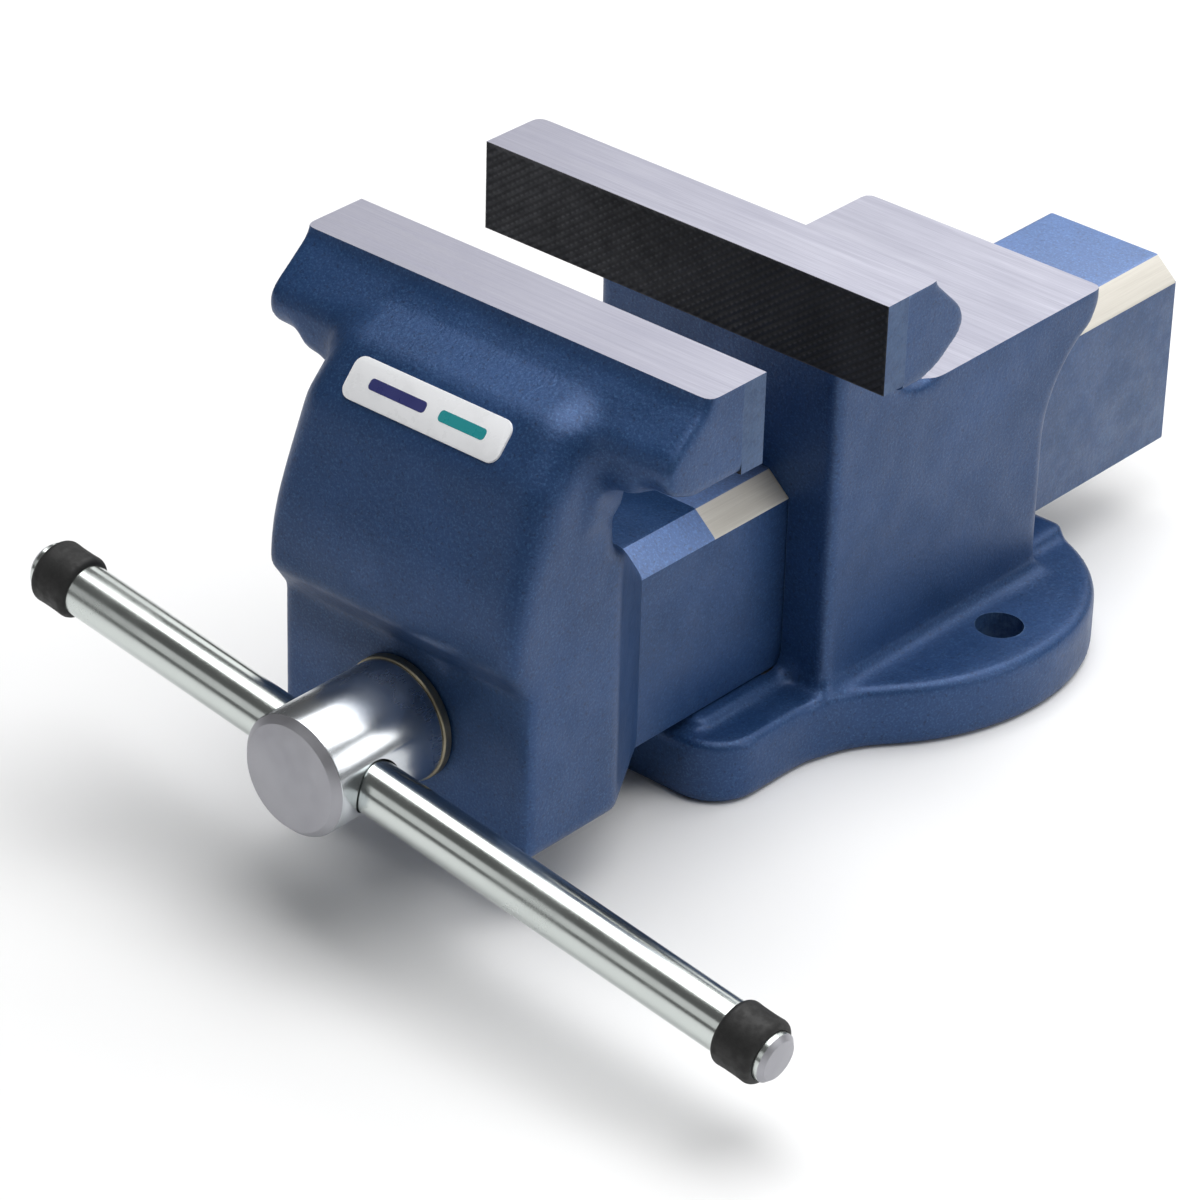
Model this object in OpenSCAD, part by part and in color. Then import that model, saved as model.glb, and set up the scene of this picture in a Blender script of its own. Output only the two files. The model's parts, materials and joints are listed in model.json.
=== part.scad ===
// Bench vise: a cast body on a round bolted foot, a moving jaw on a square slide,
// a lead screw turned by a sliding handle, and serrated jaw plates.
// +X is to the right, +Y to the rear, +Z up. The origin is on the underside of the
// foot, midway between its two bolt holes. Millimetres.

/* [Jaws] */
// width across the jaws
jaw_w = 150; // [100:1:200]
// opening between the jaw plates as the vise stands
jaw_gap = 52.6; // [5:0.1:100]
// height of the jaw tops above the bench
top_z = 167; // [140:0.5:200]
// depth of a jaw's flat top, plate included
jaw_top_d = 23; // [15:0.5:40]
// height of a jaw plate
plate_h = 28; // [20:0.5:40]
// thickness of a jaw plate
plate_t = 9; // [6:0.5:14]

/* [Fixed body] */
// distance from the bolt line forward to the fixed jaw's face
face_d = 86; // [70:0.5:100]
// width of the body and of the anvil
body_w = 91.4; // [80:0.2:110]
// depth of the fixed jaw's neck behind the jaw face
neck_front = 18; // [12:0.5:24]
// rear edge of the anvil behind the jaw face
anvil_rear = 145.5; // [120:0.5:160]
// depth of the anvil top below the jaw tops
anvil_drop = 58; // [45:0.5:70]
// rear face of the body, under the anvil, behind the jaw face
body_rear = 121.3; // [110:0.5:130]

/* [Foot] */
// thickness of the foot
foot_h = 21; // [15:0.5:30]
// radius of the foot's round sides
foot_r = 77.5; // [70:0.5:90]
// distance between the two bolt holes
bolt_pitch = 118; // [100:1:130]
// diameter of a bolt hole
bolt_hole_d = 15; // [10:0.5:18]
// half width of the tongue under the front of the slide
tongue_half = 46.5; // [40:0.5:60]
// how far the tongue reaches in front of the bolt line
tongue_front = 115; // [100:0.5:130]

/* [Slide] */
// width of the slide
slide_w = 57.7; // [50:0.1:70]
// top of the slide below the jaw tops
slide_drop = 79; // [70:0.5:90]
// height of the slide
slide_h = 63.4; // [50:0.1:80]
// rear end of the slide behind the moving jaw's face
slide_len = 263.3; // [200:0.1:280]
// width of the edge chamfers of the slide, across and down
slide_chamfer = [8, 7]; // [4:0.5:12]
// clearance between the slide and the body
slide_gap = 0.3; // [0.1:0.05:1]

/* [Screw] */
// height of the screw's axis below the jaw tops
screw_drop = 113; // [100:0.5:120]
// outer radius of the screw thread
thread_r = 12; // [10:0.1:16]
// depth of the thread
thread_depth = 2.8; // [2:0.1:4]
// pitch of the thread
thread_pitch = 6; // [4:0.5:8]
// steps per turn of the modelled thread
thread_steps = 20; // [12:1:36]
// radial and axial clearance between the threads
thread_gap = 0.35; // [0.2:0.05:0.6]
// radius of the screw's plain journal
journal_r = 12.8; // [11:0.1:16]
// radial clearance of a running fit
running_gap = 0.05; // [0.02:0.01:0.1]

/* [Handle] */
// radius of the handle bar
bar_r = 8; // [6:0.05:12]
// length of the handle bar over its ends
bar_len = 278; // [200:1:320]
// tilt of the handle as the vise stands, right end down
bar_tilt = 8; // [-90:1:90]
// how far the bar stands pushed towards its right end
bar_shift = 25; // [-60:1:60]
// radius of the spindle head
head_r = 18.5; // [16:0.5:24]
// radius of a rubber end ring
ring_r = 9.8; // [9:0.1:14]
// length of a rubber end ring
ring_len = 13.5; // [8:0.5:20]
// length of bare bar beyond an end ring
bar_stub = 3; // [2:0.5:12]

/* [Hidden] */
$fn = 96;
cut = 1;
face_y = -face_d;
move_y = face_y - jaw_gap;
axis_z = top_z - screw_drop;
slide_top = top_z - slide_drop;
slide_bottom = slide_top - slide_h;
pad_top = slide_bottom - slide_gap;
body_half = body_w / 2;
slide_half = slide_w / 2;

// round nose of each jaw behind its plate: centre, radius, lower rear edge, depth of the underside
fixed_nose = [29.2, -16.8];
fixed_nose_r = 7;
fixed_heel = 25.5;
fixed_sole = 30.5;
moving_nose = [31, -18.6];
moving_nose_r = 7.9;
moving_heel = 28;

// pads under the slide
front_pad_half = 33;
front_pad_back = -24;
front_pad_d = 50;
rear_pad_half = 40;

// moving jaw, measured back from its own face
column_half = 47;
column_bottom = 25;
column_rear = -24;
wedge_drop = 56;
wedge_rear = 6.7;
front_wall = -61.5;
front_wall_t = 18.7;
cavity_half = 19.5;
cavity_front = front_wall + front_wall_t;
cavity_roof = slide_top - 13;

// rounds above and below the flat of the sloping shoulder, as [y, z], and the side they share
shoulder_top = [-37.9, -23.5];
shoulder_top_r = 12;
shoulder_low = [-45.1, -34.6];
shoulder_low_r = 14;
shoulder_a = 138;
flat_from = shoulder_top + shoulder_top_r * [cos(shoulder_a), sin(shoulder_a)];
flat_to = shoulder_low + shoulder_low_r * [cos(shoulder_a), sin(shoulder_a)];

// spindle, measured back from the moving jaw's face
head_front = -107;
handle_y = -91;
washer_t = 3;
washer_r = 19;
head_back = front_wall - washer_t - slide_gap;
spring_front = cavity_front + 3;
collar_front = -28;
collar_rear = -16;
collar_r = 17;
thread_start = -12;
journal_end = thread_start - thread_pitch / 2;
thread_turns = 42;

// screw nut, in the frame of the body
nut_half = 18.5;
nut_y0 = -61;
nut_len = 50;
nut_y = nut_y0 + nut_len / 2;
nut_bolt_r = 5;
nut_bolt_head_r = 9.24;
nut_dowel_y = nut_y0 + 10;
counterbore_r = 12.5;
counterbore_h = 12;

// jaw plate dowels
dowel_r = 4;
dowel_x = 45;
dowel_reach = 7;

// points of an arc about [x, y]
function arc(x, y, r, a0, a1, n = 8) =
    [for (i = [0 : n]) let (a = a0 + (a1 - a0) * i / n) [x + r * cos(a), y + r * sin(a)]];

// ---- placing ----------------------------------------------------------------------

// children stand at the top front edge of the fixed jaw, y back from its face
module at_fixed_face() translate([0, face_y, top_z]) children();

// children stand at the top rear edge of the moving jaw, y back from its face
module at_moving_face() translate([0, move_y, top_z]) children();

// an outline in [y, z] becomes a prism across the vise
module across(width) rotate([90, 0, 90]) translate([0, 0, -width / 2]) linear_extrude(width) children();

// an outline in [x, z] becomes a prism from y0 to y1
module lengthwise(y0, y1) translate([0, y1, 0]) rotate([90, 0, 0]) linear_extrude(y1 - y0) children();

// a cylinder or other shape drawn along +Z is laid along +Y on the screw's axis, y back from
// the moving jaw's face
module on_screw_axis(y) translate([0, move_y + y, axis_z]) rotate([-90, 0, 0]) children();

// a ring drawn along +Z
module ring(outer, inner, length) difference() {
    cylinder(h = length, r = outer);
    translate([0, 0, -cut]) cylinder(h = length + 2 * cut, r = inner);
}

// ---- helical thread ---------------------------------------------------------------
// The thread is one sheet. Four corner lines of its profile wind round the axis, and the
// first line of the next turn closes the last one. A plain ring finishes each end.
// It is drawn along +Z from z = 0, right handed.

// profile corners over one pitch, as [radius, height]
function thread_profile(root_r, crest_r, root_w, crest_w) =
    let (flank = (thread_pitch - root_w - crest_w) / 2)
    [[root_r, 0], [root_r, root_w], [crest_r, root_w + flank], [crest_r, root_w + flank + crest_w]];

function on_turn(r, step, z) =
    let (a = 360 * step / thread_steps) [r * cos(a), r * sin(a), z + thread_pitch * step / thread_steps];

// index of a profile corner at a step: corner 4 is corner 0 of the next turn
function thread_index(step, corner, rows) =
    corner == 4 ? thread_index(step + thread_steps, 0, rows)
    : step < rows ? thread_steps + 4 * step + corner
    : thread_steps + 3 * rows + step;

module thread(root_r, crest_r, root_w, crest_w, turns) {
    n = thread_steps;
    rows = turns * n;
    last = rows - 1;
    roof = 2 * n + 4 * rows;
    profile = thread_profile(root_r, crest_r, root_w, crest_w);
    foot_ring = [for (i = [0 : n - 1]) on_turn(root_r, i, -thread_pitch * (0.5 + i / n))];
    sheet = [for (i = [0 : last], corner = profile) on_turn(corner[0], i, corner[1])];
    closing = [for (i = [rows : last + n]) on_turn(root_r, i, 0)];
    head_ring = [for (i = [0 : n - 1]) on_turn(root_r, i, thread_pitch * (turns + 1.5 - i / n))];
    faces = concat(
        [[for (i = [0 : n - 1]) i]],
        [for (i = [0 : n - 2]) [i, thread_index(i, 0, rows), thread_index(i + 1, 0, rows), i + 1]],
        [[n - 1, thread_index(n - 1, 0, rows), thread_index(n, 0, rows), thread_index(0, 1, rows),
            thread_index(0, 0, rows), 0]],
        [[for (j = [4 : -1 : 1]) thread_index(0, j, rows)]],
        [for (i = [0 : last - 1], j = [0 : 3])
            [thread_index(i, j, rows), thread_index(i, j + 1, rows), thread_index(i + 1, j + 1, rows)]],
        [for (i = [0 : last - 1], j = [0 : 3])
            [thread_index(i, j, rows), thread_index(i + 1, j + 1, rows), thread_index(i + 1, j, rows)]],
        [[for (j = [1 : 4]) thread_index(last, j, rows)]],
        [[roof, thread_index(rows, 0, rows), thread_index(last, 0, rows), thread_index(last, 1, rows),
            thread_index(last, 4, rows), roof + last % n]],
        [for (i = [rows : last + n - 1])
            [thread_index(i, 0, rows), roof + i % n, roof + (i + 1) % n, thread_index(i + 1, 0, rows)]],
        [[for (i = [n - 1 : -1 : 0]) roof + i]]);
    polyhedron(concat(foot_ring, sheet, closing, head_ring), faces, convexity = 10);
}

// ---- outlines ---------------------------------------------------------------------

// end view of a jaw behind its plate, [y back from the face, z from the top]: a hollow under
// the top edge runs into a round nose
function jaw_outline(nose, nose_r, heel, sole) = concat(
    [[plate_t, 0]],
    arc(jaw_top_d + 8.2, 3.1, 9, 200, 235, 4),
    arc(nose[0], nose[1], nose_r, 50, -60),
    [[heel, -plate_h], [heel - 7, -sole], [plate_t, -sole]]);

// end view of the slide, grown by a clearance
function slide_outline(grow) =
    let (w = slide_half + grow, h = slide_top + grow, c = slide_chamfer)
    [[-w, slide_bottom - grow], [w, slide_bottom - grow], [w, h - c[1]], [w - c[0], h],
        [c[0] - w, h], [-w, h - c[1]]];

// right half of the foot from the tongue's front round to the middle of the rear
function foot_half() =
    let (corner = 16, web = 50, tail_r = 54, tail_a = 18,
        web_x = tongue_half + web,
        web_y = -sqrt(pow(foot_r + web, 2) - pow(web_x, 2)),
        web_a = atan2(web_y, web_x),
        tail = foot_r - tail_r)
    concat(
        arc(tongue_half - corner, corner - tongue_front, corner, 270, 360),
        arc(web_x, web_y, web, 180, 180 + web_a, 12),
        arc(0, 0, foot_r, web_a, tail_a, 16),
        arc(tail * cos(tail_a), tail * sin(tail_a), tail_r, tail_a + 5, 90, 12));

function mirrored(points) =
    concat(points, [for (i = [len(points) - 1 : -1 : 0]) [-points[i][0], points[i][1]]]);

// side view of the body's column, neck and anvil
function body_outline() =
    let (neck_rear = 36.2, neck_arc = 14, belly = 35.8, belly_z = -102, lip = 8)
    concat(
        [[neck_front, foot_h - top_z - cut], [body_rear, foot_h - top_z - cut]],
        arc(body_rear + belly, belly_z, belly, 180, 115),
        [[anvil_rear, -anvil_drop - lip / 2], [anvil_rear - 1.5, -anvil_drop]],
        arc(neck_rear + neck_arc, neck_arc - anvil_drop, neck_arc, 270, 180),
        [[neck_rear, -17], [neck_front, -17]]);

// side view of the moving column: a sloping shoulder, a round chest, a step in above the
// spindle, a flat front, and a wedge that runs back into the slide
function column_outline() =
    let (chest = 68.6, foot = column_bottom - top_z)
    concat(
        [[column_rear, -20], [-34, -11]],
        arc(shoulder_top[0], shoulder_top[1], shoulder_top_r, 100, shoulder_a, 4),
        arc(shoulder_low[0], shoulder_low[1], shoulder_low_r, shoulder_a, 163, 3),
        arc(70 - chest, -74, 70, 163, 180, 5),
        arc(7 - chest, -77, 7, 180, 230, 4),
        [[front_wall, -89], [front_wall, foot], [wedge_rear, foot], [wedge_rear, -slide_drop],
            [column_rear, -wedge_drop]]);

// plan of the moving column
function column_plan() =
    let (corner = 6, front = -69)
    mirrored(concat(
        arc(column_half - corner, front + corner, corner, 270, 360, 6),
        [[column_half, column_rear], [slide_half, wedge_rear]]));

// ---- body ---------------------------------------------------------------------------

// a jaw casting, plate seat forward
module jaw(nose, nose_r, heel, sole) across(jaw_w)
    polygon(jaw_outline(nose, nose_r, heel, sole));

// round fillet under a jaw's overhang, from y0 to y1
module overhang_fillet(half, y0, y1, r = 12) {
    for (side = [0, 1]) mirror([side, 0, 0]) lengthwise(y0, y1)
        polygon(concat([[half - cut, 1 - plate_h], [half + r, 1 - plate_h]],
            arc(half + r, -plate_h - r, r, 90, 180), [[half - cut, -plate_h - r]]));
}

// blind holes for the two dowels of a jaw plate, open towards +Y or -Y
module dowels(r, y0, y1) {
    for (side = [-1, 1]) translate([side * dowel_x, y0, -plate_h / 2])
        rotate([-90, 0, 0]) cylinder(h = y1 - y0, r = r);
}

module foot() {
    difference() {
        linear_extrude(foot_h) polygon(mirrored(foot_half()));
        for (side = [-1, 1]) translate([side * bolt_pitch / 2, 0, -cut])
            cylinder(h = foot_h + 2 * cut, r = bolt_hole_d / 2);
    }
}

// the raised pads that the slide rides on, before and behind the column
module slide_pads() {
    pad_h = pad_top - foot_h + cut;
    translate([-front_pad_half, face_y + front_pad_back, foot_h - cut])
        cube([2 * front_pad_half, front_pad_d, pad_h]);
    translate([-rear_pad_half, 0, foot_h - cut]) cube([2 * rear_pad_half, anvil_rear - face_d, pad_h]);
}

module fixed_body() color([0.13, 0.22, 0.36]) difference() {
    union() {
        foot();
        slide_pads();
        at_fixed_face() {
            difference() {
                union() {
                    across(body_w) polygon(body_outline());
                    jaw(fixed_nose, fixed_nose_r, fixed_heel, fixed_sole);
                    overhang_fillet(body_half, neck_front, 24);
                }
                dowels(dowel_r + running_gap, plate_t - cut, plate_t + dowel_reach);
            }
        }
    }
    lengthwise(neck_front + face_y - cut, anvil_rear - face_d + cut) polygon(slide_outline(slide_gap));
    translate([0, nut_y, -cut]) cylinder(h = top_z / 2, r = nut_bolt_r + 0.5);
    translate([0, nut_y, -cut]) cylinder(h = counterbore_h + cut, r = counterbore_r);
    translate([0, nut_dowel_y, pad_top - 10]) cylinder(h = 20, r = dowel_r + running_gap);
}

module rear_jaw_plate() color([0.12, 0.12, 0.13]) at_fixed_face() difference() {
    translate([-jaw_w / 2, 0, -plate_h]) cube([jaw_w, plate_t, plate_h]);
    dowels(dowel_r + running_gap, plate_t - dowel_reach + 1, plate_t + cut);
}

module rear_plate_dowels() color([0.6, 0.6, 0.62]) at_fixed_face()
    dowels(dowel_r, plate_t - dowel_reach + 1.5, plate_t + dowel_reach - 0.5);

// ---- moving jaw ---------------------------------------------------------------------

// what lies above the plane from just under the end of the slide's chamfer to the top of the wedge
module wedge_roof() {
    sink = 0.5;
    chamfer_top = [slide_half - slide_chamfer[0], wedge_rear, -slide_drop - sink];
    wedge_top = [column_half, column_rear, sink - wedge_drop];
    up = cross(wedge_top - chamfer_top, [slide_chamfer[0], 0, -slide_chamfer[1]]);
    intersection() {
        translate(chamfer_top) rotate([0, acos(up[2] / norm(up)), atan2(up[1], up[0])])
            translate([-60, -60, 0]) cube([120, 120, 60]);
        translate([0, column_rear, -top_z]) cube([2 * column_half, wedge_rear - column_rear + cut, top_z]);
    }
}

module moving_jaw() color([0.13, 0.22, 0.36]) difference() {
    union() {
        at_moving_face() {
            mirror([0, 1, 0]) difference() {
                jaw(moving_nose, moving_nose_r, moving_heel, plate_h);
                dowels(dowel_r + running_gap, plate_t - cut, plate_t + dowel_reach);
            }
            difference() {
                intersection() {
                    across(2 * column_half) polygon(column_outline());
                    translate([0, 0, -top_z]) linear_extrude(top_z) polygon(column_plan());
                }
                for (side = [0, 1]) mirror([side, 0, 0]) wedge_roof();
            }
            overhang_fillet(column_half, -33, column_rear, 14);
        }
        lengthwise(move_y + column_rear - cut, move_y + slide_len) polygon(slide_outline(0));
    }
    translate([-cavity_half, move_y + cavity_front, -cut])
        cube([2 * cavity_half, slide_len - cavity_front + cut, cavity_roof + cut]);
    on_screw_axis(front_wall - cut) cylinder(h = front_wall_t + 2 * cut, r = journal_r + running_gap);
}

module front_jaw_plate() color([0.12, 0.12, 0.13]) at_moving_face() mirror([0, 1, 0]) difference() {
    translate([-jaw_w / 2, 0, -plate_h]) cube([jaw_w, plate_t, plate_h]);
    dowels(dowel_r + running_gap, plate_t - dowel_reach + 1, plate_t + cut);
}

module front_plate_dowels() color([0.6, 0.6, 0.62]) at_moving_face() mirror([0, 1, 0])
    dowels(dowel_r, plate_t - dowel_reach + 1.5, plate_t + dowel_reach - 0.5);

// a blank badge on the flat of the sloping shoulder
module name_plate() color([0.9, 0.9, 0.92]) {
    size = [58, 13];
    corner = 3.5;
    middle = (flat_from + flat_to) / 2;
    slope = atan2(flat_from[1] - flat_to[1], flat_from[0] - flat_to[0]);
    at_moving_face() translate([-1.5, middle[0], middle[1]]) rotate([slope, 0, 0])
            translate([0, 0, 0.01]) linear_extrude(0.8) union() {
        square([size[0] - 2 * corner, size[1]], center = true);
        square([size[0], size[1] - 2 * corner], center = true);
        for (x = [-1, 1], y = [-1, 1])
            translate([x * (size[0] / 2 - corner), y * (size[1] / 2 - corner)]) circle(corner);
    }
}

// ---- spindle ------------------------------------------------------------------------

// thread proportions over one pitch: flats at the root and at the crest
root_w = 2.2;
crest_w = 1.8;

spigot_r = 10;
spigot_len = 18;
head_pin_r = 3;
head_pin_y = head_back - 9;
collar_pin_r = 2.5;
collar_pin_y = (collar_front + collar_rear) / 2;

// the plain front end of the spindle: journal, and spigot in the head
module spindle_shank() color([0.55, 0.56, 0.58]) difference() {
    union() {
        on_screw_axis(head_back) cylinder(h = journal_end - head_back, r = journal_r);
        on_screw_axis(head_back - spigot_len) cylinder(h = spigot_len + cut, r = spigot_r);
    }
    head_pin_hole();
    collar_pin_hole();
}

module lead_screw() color([0.55, 0.56, 0.58]) on_screw_axis(thread_start)
    thread(thread_r - thread_depth, thread_r, root_w, crest_w, thread_turns);

module head_pin_hole() translate([0, move_y + head_pin_y, axis_z - head_r - cut])
    cylinder(h = 2 * head_r - 9 + cut, r = head_pin_r + running_gap);

module collar_pin_hole() translate([-collar_r - cut, move_y + collar_pin_y, axis_z]) rotate([0, 90, 0])
    cylinder(h = 2 * (collar_r + cut), r = collar_pin_r + running_gap);

// children stand on the handle's axis, +Z towards its right end
module on_handle_axis() translate([0, move_y + handle_y, axis_z]) rotate([0, 90 + bar_tilt, 0]) children();

module spindle_head() color([0.78, 0.79, 0.8]) difference() {
    rim = 2.4;
    on_screw_axis(head_front) rotate_extrude()
        polygon([[0, 0], [head_r - rim, 0], [head_r, rim], [head_r, head_back - head_front],
            [0, head_back - head_front]]);
    on_screw_axis(head_back - spigot_len - 0.5) cylinder(h = spigot_len + 1.5, r = spigot_r + running_gap);
    on_handle_axis() translate([0, 0, -2 * head_r]) cylinder(h = 4 * head_r, r = bar_r + running_gap);
    head_pin_hole();
}

module head_pin() color([0.5, 0.5, 0.52]) translate([0, move_y + head_pin_y, axis_z - head_r + 0.5])
    cylinder(h = 2 * head_r - 10, r = head_pin_r);

module thrust_washer() color([0.72, 0.6, 0.32]) on_screw_axis(head_back) difference() {
    edge = 0.6;
    rotate_extrude()
        polygon([[0, 0], [washer_r - edge, 0], [washer_r, edge], [washer_r, washer_t], [0, washer_t]]);
    translate([0, 0, -cut]) cylinder(h = washer_t + 2 * cut, r = journal_r + running_gap);
}

module spring_washer() color([0.6, 0.61, 0.63]) on_screw_axis(cavity_front + slide_gap)
    ring(17.5, journal_r + running_gap, spring_front - cavity_front - slide_gap);

// a coil of round wire drawn as rings of points along a helix
module spindle_spring() color([0.35, 0.35, 0.37]) on_screw_axis(spring_front) {
    wire_r = 1.4;
    coil_r = 15.3;
    coils = 3;
    sides = 8;
    steps = 24 * coils;
    rise = collar_front - spring_front - 2 * wire_r - 0.2;
    points = [for (i = [0 : steps], j = [0 : sides - 1])
        let (a = 360 * coils * i / steps, b = 360 * j / sides, r = coil_r + wire_r * cos(b))
        [r * cos(a), r * sin(a), wire_r + 0.1 + rise * i / steps + wire_r * sin(b)]];
    faces = concat(
        [[for (j = [0 : sides - 1]) j]],
        [for (i = [0 : steps - 1], j = [0 : sides - 1])
            let (p = i * sides + j, q = i * sides + (j + 1) % sides) [p, p + sides, q + sides]],
        [for (i = [0 : steps - 1], j = [0 : sides - 1])
            let (p = i * sides + j, q = i * sides + (j + 1) % sides) [p, q + sides, q]],
        [[for (j = [sides - 1 : -1 : 0]) steps * sides + j]]);
    polyhedron(points, faces, convexity = 6);
}

module retaining_collar() color([0.5, 0.5, 0.52]) difference() {
    on_screw_axis(collar_front) ring(collar_r, journal_r + running_gap, collar_rear - collar_front);
    collar_pin_hole();
}

module collar_pin() color([0.4, 0.4, 0.42]) translate([-collar_r, move_y + collar_pin_y, axis_z])
    rotate([0, 90, 0]) cylinder(h = 2 * collar_r, r = collar_pin_r);

// ---- nut ----------------------------------------------------------------------------

// the nut's thread starts whole turns behind the screw's, so the two are in mesh
module nut_thread_space() {
    screw_y = move_y + thread_start;
    turns_in = floor((nut_y0 - screw_y) / thread_pitch) - 1;
    turns = ceil(nut_len / thread_pitch) + 2;
    translate([0, screw_y + turns_in * thread_pitch + thread_gap, axis_z]) rotate([-90, 0, 0])
        thread(thread_r - thread_depth + thread_gap, thread_r + thread_gap,
            root_w - 2 * thread_gap, crest_w + 2 * thread_gap, turns);
}

module spindle_nut() color([0.7, 0.55, 0.25]) difference() {
    union() {
        translate([-nut_half, nut_y0, pad_top]) cube([2 * nut_half, nut_len, axis_z - pad_top]);
        translate([0, nut_y0, axis_z]) rotate([-90, 0, 0]) cylinder(h = nut_len, r = nut_half);
    }
    nut_thread_space();
    translate([0, nut_y, pad_top - cut]) cylinder(h = 14 + cut, r = nut_bolt_r + running_gap);
    translate([0, nut_dowel_y, pad_top - cut]) cylinder(h = 9 + cut, r = dowel_r + running_gap);
}

module nut_bolt() color([0.3, 0.3, 0.32]) translate([0, nut_y, counterbore_h - 2]) {
    mirror([0, 0, 1]) cylinder(h = 6.4, r = nut_bolt_head_r, $fn = 6);
    translate([0, 0, -cut]) cylinder(h = pad_top - counterbore_h + 2 + 12 + cut, r = nut_bolt_r);
}

module nut_bolt_washer() color([0.6, 0.6, 0.62]) translate([0, nut_y, counterbore_h - 2])
    ring(10.5, nut_bolt_r + 0.2, 2);

module nut_dowel() color([0.6, 0.6, 0.62]) translate([0, nut_dowel_y, pad_top - 9.5])
    cylinder(h = 18, r = dowel_r);

// ---- handle -------------------------------------------------------------------------

// ends of the bar along its axis, measured from the screw's axis
bar_end_r = bar_r - 0.6;
bar_right = bar_len / 2 + bar_shift;
bar_left = bar_right - bar_len;

// the bar is turned down a little under each ring, and its ends are chamfered
module handle_bar() color([0.78, 0.79, 0.8]) on_handle_axis() translate([0, 0, bar_left]) rotate_extrude() {
    seat = bar_stub + ring_len;
    chamfer = 1.2;
    polygon([[0, 0], [bar_end_r - chamfer, 0], [bar_end_r, chamfer], [bar_end_r, seat],
        [bar_r, seat], [bar_r, bar_len - seat], [bar_end_r, bar_len - seat],
        [bar_end_r, bar_len - chamfer], [bar_end_r - chamfer, bar_len], [0, bar_len]]);
}

// a rubber ring with rounded edges, its lower end at a place on the bar
module handle_ring(place) color([0.06, 0.06, 0.06])
        on_handle_axis() translate([0, 0, place]) rotate_extrude() {
    edge = 2;
    polygon(concat([[bar_end_r, 0]],
        arc(ring_r - edge, edge, edge, -90, 0, 4),
        arc(ring_r - edge, ring_len - edge, edge, 0, 90, 4),
        [[bar_end_r, ring_len]]));
}

module handle_ring_right() handle_ring(bar_right - bar_stub - ring_len);
module handle_ring_left() handle_ring(bar_left + bar_stub);

fixed_body();
rear_jaw_plate();
rear_plate_dowels();
moving_jaw();
front_jaw_plate();
front_plate_dowels();
name_plate();
spindle_shank();
lead_screw();
spindle_head();
head_pin();
thrust_washer();
spring_washer();
spindle_spring();
retaining_collar();
collar_pin();
spindle_nut();
nut_bolt();
nut_bolt_washer();
nut_dowel();
handle_bar();
handle_ring_right();
handle_ring_left();
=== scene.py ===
"""Looks of the bench vise: cast bodies, ground faces, serrated jaws, plated spindle and handle."""

import json
import math

import bmesh
import bpy
import numpy as np
from mathutils import Matrix, Vector


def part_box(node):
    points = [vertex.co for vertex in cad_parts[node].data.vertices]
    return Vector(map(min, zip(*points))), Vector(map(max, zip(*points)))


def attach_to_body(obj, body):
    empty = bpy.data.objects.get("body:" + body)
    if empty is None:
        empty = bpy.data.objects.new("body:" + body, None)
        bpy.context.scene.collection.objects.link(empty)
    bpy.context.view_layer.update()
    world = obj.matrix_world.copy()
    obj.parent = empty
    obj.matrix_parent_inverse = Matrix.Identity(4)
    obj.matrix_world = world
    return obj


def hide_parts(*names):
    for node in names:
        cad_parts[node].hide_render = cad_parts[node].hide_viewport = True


MM = 0.001

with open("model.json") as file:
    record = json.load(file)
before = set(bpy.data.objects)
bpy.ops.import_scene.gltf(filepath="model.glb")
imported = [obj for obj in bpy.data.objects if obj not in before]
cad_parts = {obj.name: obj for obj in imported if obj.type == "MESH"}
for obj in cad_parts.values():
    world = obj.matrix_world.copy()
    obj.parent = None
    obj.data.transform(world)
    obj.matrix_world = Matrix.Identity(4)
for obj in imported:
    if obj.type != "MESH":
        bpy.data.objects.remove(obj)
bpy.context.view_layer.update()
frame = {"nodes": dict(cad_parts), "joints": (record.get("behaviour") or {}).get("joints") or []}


# ---- places, in millimetres, read from the frame ------------------------------------

def node_box(node):
    low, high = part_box(node)
    return np.array(low) / MM, np.array(high) / MM


def joint(name):
    return next(j for j in frame["joints"] if j["name"] == name)


BODY_LOW, BODY_HIGH = node_box("fixed_body")
JAW_LOW, JAW_HIGH = node_box("moving_jaw")
REAR_PLATE_LOW, REAR_PLATE_HIGH = node_box("rear_jaw_plate")
FRONT_PLATE_HIGH = node_box("front_jaw_plate")[1]
HEAD_LOW, HEAD_HIGH = node_box("spindle_head")
SHANK_LOW, SHANK_HIGH = node_box("spindle_shank")
SCREW_LOW = node_box("lead_screw")[0]
WASHER_LOW, WASHER_HIGH = node_box("thrust_washer")
NUT_LOW, NUT_HIGH = node_box("spindle_nut")

TOP = BODY_HIGH[2]
JAW_HALF = REAR_PLATE_HIGH[0]
PLATE_H = TOP - REAR_PLATE_LOW[2]
PLATE_T = REAR_PLATE_HIGH[1] - REAR_PLATE_LOW[1]
FIXED_FACE = REAR_PLATE_LOW[1]
MOVING_FACE = FRONT_PLATE_HIGH[1]
SLIDE_REAR = JAW_HIGH[1]
AXIS_Z = (HEAD_LOW[2] + HEAD_HIGH[2]) / 2
HANDLE_BACK = 91.0
HANDLE_POINT = np.array([0.0, MOVING_FACE - HANDLE_BACK, AXIS_Z])
HANDLE_AXIS = np.array(joint("handle_slide")["axis"])

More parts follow.
